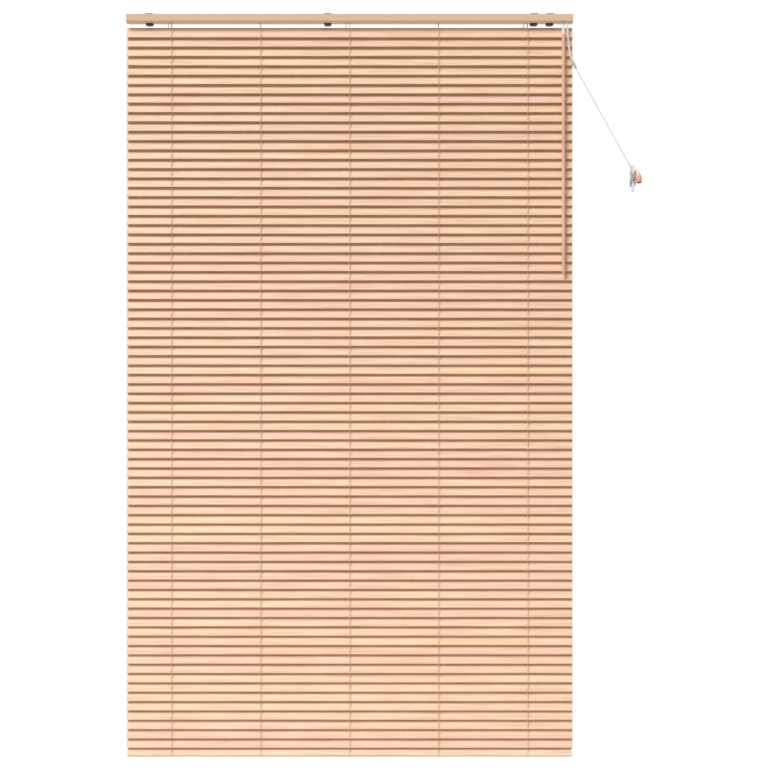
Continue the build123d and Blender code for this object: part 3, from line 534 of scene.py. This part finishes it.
def half(add, value, sign):
    """Half of a value, times a sign or a factor."""
    return add("ShaderNodeMath", {0: value, 1: 0.5 * sign}, operation="MULTIPLY").outputs[0]


def point(add, x=0.0, y=0.0, z=0.0):
    """A point in space from three numbers or sockets."""
    return add("ShaderNodeCombineXYZ", {"X": x, "Y": y, "Z": z}).outputs[0]


# %% Slats
SLATS = 77
SLAT_PITCH = -21 * MM
FIRST_SLAT = -29.9 * MM
SLAT_TILT = math.radians(65)
slat_sizes = {
    "Length": 1002 * MM,
    "Width": 25 * MM,
    "Thickness": 2.4 * MM,
    "Edge radius": 0.8 * MM,
    "Pitch": SLAT_PITCH,
    "First height": FIRST_SLAT,
    "Plane": SLAT_PLANE,
    "Tilt": SLAT_TILT,
    "Unevenness": math.radians(0.35),
    "Count": SLATS,
}
tree, add, sizes = node_kit("slat_repeat", slat_sizes)
run = add(
    "GeometryNodeCurvePrimitiveLine",
    {"Start": point(add, half(add, sizes["Length"], -1)), "End": point(add, half(add, sizes["Length"], 1))},
)
section = add("GeometryNodeCurvePrimitiveQuadrilateral", {"Width": sizes["Width"], "Height": sizes["Thickness"]})
eased = add(
    "GeometryNodeFilletCurve",
    {"Curve": section.outputs[0], "Count": 3, "Radius": sizes["Edge radius"]},
    mode="POLY",
)
slat = add(
    "GeometryNodeCurveToMesh",
    {"Curve": run.outputs[0], "Profile Curve": eased.outputs[0], "Fill Caps": True},
)
places = add(
    "GeometryNodeMeshLine",
    {
        "Count": sizes["Count"],
        "Start Location": point(add, 0.0, sizes["Plane"], sizes["First height"]),
        "Offset": point(add, 0.0, 0.0, sizes["Pitch"]),
    },
)
uneven = add(
    "FunctionNodeRandomValue",
    {2: half(add, sizes["Unevenness"], -2), 3: half(add, sizes["Unevenness"], 2), "Seed": 5},
    data_type="FLOAT",
)
tilt = add("ShaderNodeMath", {0: sizes["Tilt"], 1: uneven.outputs[1]}, operation="ADD")
turn = add("FunctionNodeEulerToRotation", {0: point(add, tilt.outputs[0])})
stack = add(
    "GeometryNodeInstanceOnPoints",
    {"Points": places.outputs[0], "Instance": slat.outputs[0], "Rotation": turn.outputs[0]},
)
tone = add("FunctionNodeRandomValue", {2: 0.0, 3: 1.0, "Seed": 11}, data_type="FLOAT")
toned = add(
    "GeometryNodeStoreNamedAttribute",
    {"Geometry": stack.outputs[0], "Name": "slat_tone", "Value": tone.outputs[1]},
    data_type="FLOAT",
    domain="INSTANCE",
)
solid = add("GeometryNodeRealizeInstances", {0: toned.outputs[0]})
dressed = add("GeometryNodeSetMaterial", {"Geometry": solid.outputs[0], "Material": slat_finish})
result = add("NodeGroupOutput")
tree.links.new(dressed.outputs[0], result.inputs[0])
slats = run_tree("slat_stack", tree, slat_sizes)
print("slats:", len(slats.data.polygons), "faces, size", [round(v, 4) for v in slats.dimensions])

# %% [markdown]
# ## Ladder cords
# Five ladders carry the slats: a front and a back string with a rung under every slat. One ladder is
# made of thin tubes, with its rungs on a line of points, and the whole ladder is then repeated along the
# headrail. The lift cords behind the slats come from the same kind of tree.

# %% Ladder strings
FIRST_LADDER = -400 * MM
LADDER_SPACING = 200 * MM
LADDERS = 5
string_sizes = {
    "First ladder": FIRST_LADDER,
    "Spacing": LADDER_SPACING,
    "Ladders": LADDERS,
    "Front": -21.42 * MM,
    "Back": -7.58 * MM,
    "Top": 0.0,
    "Front end": -1648.1 * MM,
    "Back end": -1634.3 * MM,
    "Radius": 0.55 * MM,
}


def tube(add, start, end, section):
    """A straight round tube between two points, with closed ends."""
    line = add("GeometryNodeCurvePrimitiveLine", {"Start": start, "End": end})
    sockets = {"Curve": line.outputs[0], "Profile Curve": section.outputs[0], "Fill Caps": True}
    return add("GeometryNodeCurveToMesh", sockets).outputs[0]


def along_headrail(tree, add, sizes, parts, finish):
    """Joins the parts of one ladder, repeats them along the headrail and gives them a finish."""
    joined = add("GeometryNodeJoinGeometry")
    for part in parts:
        tree.links.new(part, joined.inputs[0])
    places = add(
        "GeometryNodeMeshLine",
        {
            "Count": sizes["Ladders"],
            "Start Location": point(add, sizes["First ladder"]),
            "Offset": point(add, sizes["Spacing"]),
        },
    )
    row = add("GeometryNodeInstanceOnPoints", {"Points": places.outputs[0], "Instance": joined.outputs[0]})
    solid = add("GeometryNodeRealizeInstances", {0: row.outputs[0]})
    dressed = add("GeometryNodeSetMaterial", {"Geometry": solid.outputs[0], "Material": finish})
    result = add("NodeGroupOutput")
    tree.links.new(dressed.outputs[0], result.inputs[0])


tree, add, sizes = node_kit("string_repeat", string_sizes)
section = add("GeometryNodeCurvePrimitiveCircle", {"Resolution": 10, "Radius": sizes["Radius"]})
strings = []
for place in ("Front", "Back"):
    top = point(add, 0.0, sizes[place], sizes["Top"])
    strings.append(tube(add, top, point(add, 0.0, sizes[place], sizes[place + " end"]), section))
along_headrail(tree, add, sizes, strings, ladder_finish)
ladder_strings = run_tree("ladder_strings", tree, string_sizes)
print("ladder strings:", len(ladder_strings.data.polygons), "faces")

# %% Ladder rungs
TILT_SLOPE = math.tan(SLAT_TILT)
RUNG_DROP = 3.67 * MM
rung_sizes = {
    "First ladder": FIRST_LADDER,
    "Spacing": LADDER_SPACING,
    "Ladders": LADDERS,
    "Radius": 0.36 * MM,
    "Reach": 6.9 * MM,
    "Plane": SLAT_PLANE,
    "First height": FIRST_SLAT,
    "Pitch": SLAT_PITCH,
    "Rungs": SLATS,
}
tree, add, sizes = node_kit("rung_repeat", rung_sizes)
section = add("GeometryNodeCurvePrimitiveCircle", {"Resolution": 6, "Radius": sizes["Radius"]})
rise = add("ShaderNodeMath", {0: sizes["Reach"], 1: TILT_SLOPE}, operation="MULTIPLY").outputs[0]
rung_ends = []
for sign in (-1, 1):
    out = half(add, sizes["Reach"], 2 * sign)
    up = add("ShaderNodeMath", {0: half(add, rise, 2 * sign), 1: -RUNG_DROP}, operation="ADD").outputs[0]
    rung_ends.append(point(add, 0.0, out, up))
rung_places = add(
    "GeometryNodeMeshLine",
    {
        "Count": sizes["Rungs"],
        "Start Location": point(add, 0.0, sizes["Plane"], sizes["First height"]),
        "Offset": point(add, 0.0, 0.0, sizes["Pitch"]),
    },
)
rungs = add(
    "GeometryNodeInstanceOnPoints",
    {"Points": rung_places.outputs[0], "Instance": tube(add, *rung_ends, section)},
)
along_headrail(tree, add, sizes, [rungs.outputs[0]], ladder_finish)
ladder_rungs = run_tree("ladder_rungs", tree, rung_sizes)
print("ladder rungs:", len(ladder_rungs.data.polygons), "faces")

# %% Ends of the front strings, laid over the bottom rail's front edge
end_sizes = {
    "First ladder": FIRST_LADDER,
    "Spacing": LADDER_SPACING,
    "Ladders": LADDERS,
    "Radius": 0.5 * MM,
}
end_points = [(0, -22.5, -1648.98), (0, -25.35, -1651.83), (0, -25.64, -1653.32), (0, -24.29, -1654.67)]
tree, add, sizes = node_kit("string_end_repeat", end_sizes)
section = add("GeometryNodeCurvePrimitiveCircle", {"Resolution": 10, "Radius": sizes["Radius"]})
runs = [tube(add, metres(first), metres(second), section) for first, second in zip(end_points, end_points[1:])]
along_headrail(tree, add, sizes, runs, ladder_finish)
string_ends = run_tree("string_ends", tree, end_sizes)
print("string ends:", len(string_ends.data.polygons), "faces")

# %% Lift cords behind the slats
UNDER_HEADRAIL = -9.25 * MM
BESIDE_LADDER = -8 * MM
drop_sizes = {
    "First ladder": FIRST_LADDER + BESIDE_LADDER,
    "Spacing": 2 * LADDER_SPACING,
    "Ladders": 3,
    "Plane": -5.9 * MM,
    "Top": UNDER_HEADRAIL,
    "End": -1639.5 * MM,
    "Radius": 0.7 * MM,
}
tree, add, sizes = node_kit("drop_repeat", drop_sizes)
section = add("GeometryNodeCurvePrimitiveCircle", {"Resolution": 12, "Radius": sizes["Radius"]})
top = point(add, 0.0, sizes["Plane"], sizes["Top"])
drop = tube(add, top, point(add, 0.0, sizes["Plane"], sizes["End"]), section)
along_headrail(tree, add, sizes, [drop], cord_finish)
drops = run_tree("lift_cord_drops", tree, drop_sizes)
print("lift cords:", len(drops.data.polygons), "faces")

# %% [markdown]
# ## Finishes on the solids
# The metal and moulded pieces already have their true shape, so they keep their solids and only get a
# finish. A table of name beginnings says which finish goes where.

# %% Finishes on the solids
finish_by_start = {
    "headrail_cord": cord_finish,
    "headrail": headrail_finish,
    "end_cap": cap_finish,
    "bracket_lever": lever_finish,
    "bracket": bracket_finish,
    "lever_rivets": lever_finish,
    "tilt_rod": steel_finish,
    "worm_shaft": steel_finish,
    "cord_guide_pulley": steel_finish,
    "cord_lock_roller": steel_finish,
    "worm_wheel": moulded_finish,
    "ladder_drum": moulded_finish,
    "cradle": moulded_finish,
    "tilter_housing": moulded_finish,
    "cord_lock_housing": moulded_finish,
    "wand_hook": white_finish,
    "wand_sleeve": white_finish,
    "wand": wand_finish,
    "bottom_rail": rail_finish,
    "cord_plugs": cap_finish,
    "cleat": cleat_finish,
}
dressed_nodes = 0
for node_name, node_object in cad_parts.items():
    for start, finish in finish_by_start.items():
        if node_name.startswith(start):
            node_object.data.materials.clear()
            node_object.data.materials.append(finish)
            dressed_nodes += 1
            break
print("solids with a finish:", dressed_nodes)

# %% [markdown]
# ## Bodies
# Every new piece rides on a body of the imported model, and the solids it stands for are hidden. The slats,
# ladders and lift cords gather under the headrail when the bottom rail rises.

# %% Bodies and stand-ins
UNDER_LEVERS = -17 * MM
STACK_KEPT = 0.14
STRING_KEPT = 0.1445
ladder_nodes = [f"ladder_{i}" for i in range(1, 6)]
drop_nodes = [f"lift_cord_{i}" for i in range(1, 4)]
for piece, slot_name, stands_for, top, kept in (
    (slats, "slat_wood", ["slats"], UNDER_LEVERS, STACK_KEPT),
    (ladder_rungs, "ladder_tan", ladder_nodes, UNDER_LEVERS, STACK_KEPT),
    (ladder_strings, "ladder_tan", ladder_nodes, UNDER_HEADRAIL, STRING_KEPT),
    (drops, "cord_cotton", drop_nodes, UNDER_HEADRAIL, STRING_KEPT),
):
    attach(piece, HOME)
    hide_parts(*stands_for)
    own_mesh(piece)
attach(string_ends, "foot")
for number, strand in enumerate(strands, start=1):
    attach(strand, HOME)
    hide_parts(f"cord_strand_{number}")
for piece, slot_name, stands_for in (
    (pull_cord, "cord_cotton", ["pull_cord", "cord_wrap", "tassel_cord"]),
    (bead, "bead_wood", ["cord_bead"]),
    (tassel, "tassel_wood", ["tassel"]),
):
    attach(piece, HOME)
    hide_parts(*stands_for)

# %% [markdown]
# ## Light and surroundings
# One key light stands high on the left in front of the blind, and draws the dark line under each slat and
# the wand's shadow. An even, weaker light comes from all round. The background is white for the eye only,
# so it adds no light to the object.

# %% Light and surroundings
KEY_ENERGY = 2.6
KEY_SPREAD = math.radians(25)
KEY_AZIMUTH = math.radians(28)
KEY_HEIGHT = math.radians(44)
AMBIENT = 0.24
key = bpy.data.lights.new("key", "SUN")
key.energy = KEY_ENERGY
key.angle = KEY_SPREAD
key_light = bpy.data.objects.new("key", key)
key_from = Vector((
    -math.sin(KEY_AZIMUTH) * math.cos(KEY_HEIGHT),
    -math.cos(KEY_AZIMUTH) * math.cos(KEY_HEIGHT),
    math.sin(KEY_HEIGHT),
))
key_light.rotation_euler = (-key_from).to_track_quat("-Z", "Y").to_euler()
scene.collection.objects.link(key_light)


def seen_directly(tree):
    """One where the eye, a reflection or a see-through piece looks at the surroundings, and nought elsewhere."""
    path = tree.nodes.new("ShaderNodeLightPath")
    first = tree.nodes.new("ShaderNodeMath")
    first.operation = "MAXIMUM"
    second = tree.nodes.new("ShaderNodeMath")
    second.operation = "MAXIMUM"
    tree.links.new(path.outputs["Is Camera Ray"], first.inputs[0])
    tree.links.new(path.outputs["Is Glossy Ray"], first.inputs[1])
    tree.links.new(first.outputs[0], second.inputs[0])
    tree.links.new(path.outputs["Is Transmission Ray"], second.inputs[1])
    return second.outputs[0]


world = bpy.data.worlds.new("surroundings")
world.use_nodes = True
scene.world = world
sky = world.node_tree
sky.nodes.clear()
even = sky.nodes.new("ShaderNodeBackground")
even.inputs["Strength"].default_value = AMBIENT
white = sky.nodes.new("ShaderNodeBackground")
white.inputs["Strength"].default_value = 1
for backdrop in (even, white):
    backdrop.inputs["Color"].default_value = WHITE
choose = sky.nodes.new("ShaderNodeMixShader")
out = sky.nodes.new("ShaderNodeOutputWorld")
sky.links.new(seen_directly(sky), choose.inputs[0])
sky.links.new(even.outputs[0], choose.inputs[1])
sky.links.new(white.outputs[0], choose.inputs[2])
sky.links.new(choose.outputs[0], out.inputs["Surface"])

FLOOR_HEIGHT = -2.1
FLOOR_HALF = 3.0
FLOOR_BACK = 1.0
FLOOR_TONE = 0.92
floor_mesh = bpy.data.meshes.new("floor")
front_corners = [(-FLOOR_HALF, -FLOOR_HALF), (FLOOR_HALF, -FLOOR_HALF)]
corners = front_corners + [(FLOOR_HALF, FLOOR_BACK), (-FLOOR_HALF, FLOOR_BACK)]
floor_mesh.from_pydata([(x, y, FLOOR_HEIGHT) for x, y in corners], [], [(0, 1, 2, 3)])
floor = bpy.data.objects.new("floor", floor_mesh)
floor_finish, _, floor_shader = start_material("pale_floor", 0.9)
floor_shader.inputs["Base Color"].default_value = (FLOOR_TONE, FLOOR_TONE, FLOOR_TONE, 1)
floor_mesh.materials.append(floor_finish)
scene.collection.objects.link(floor)
scene.view_settings.view_transform = "Standard"
print("light set, background white")
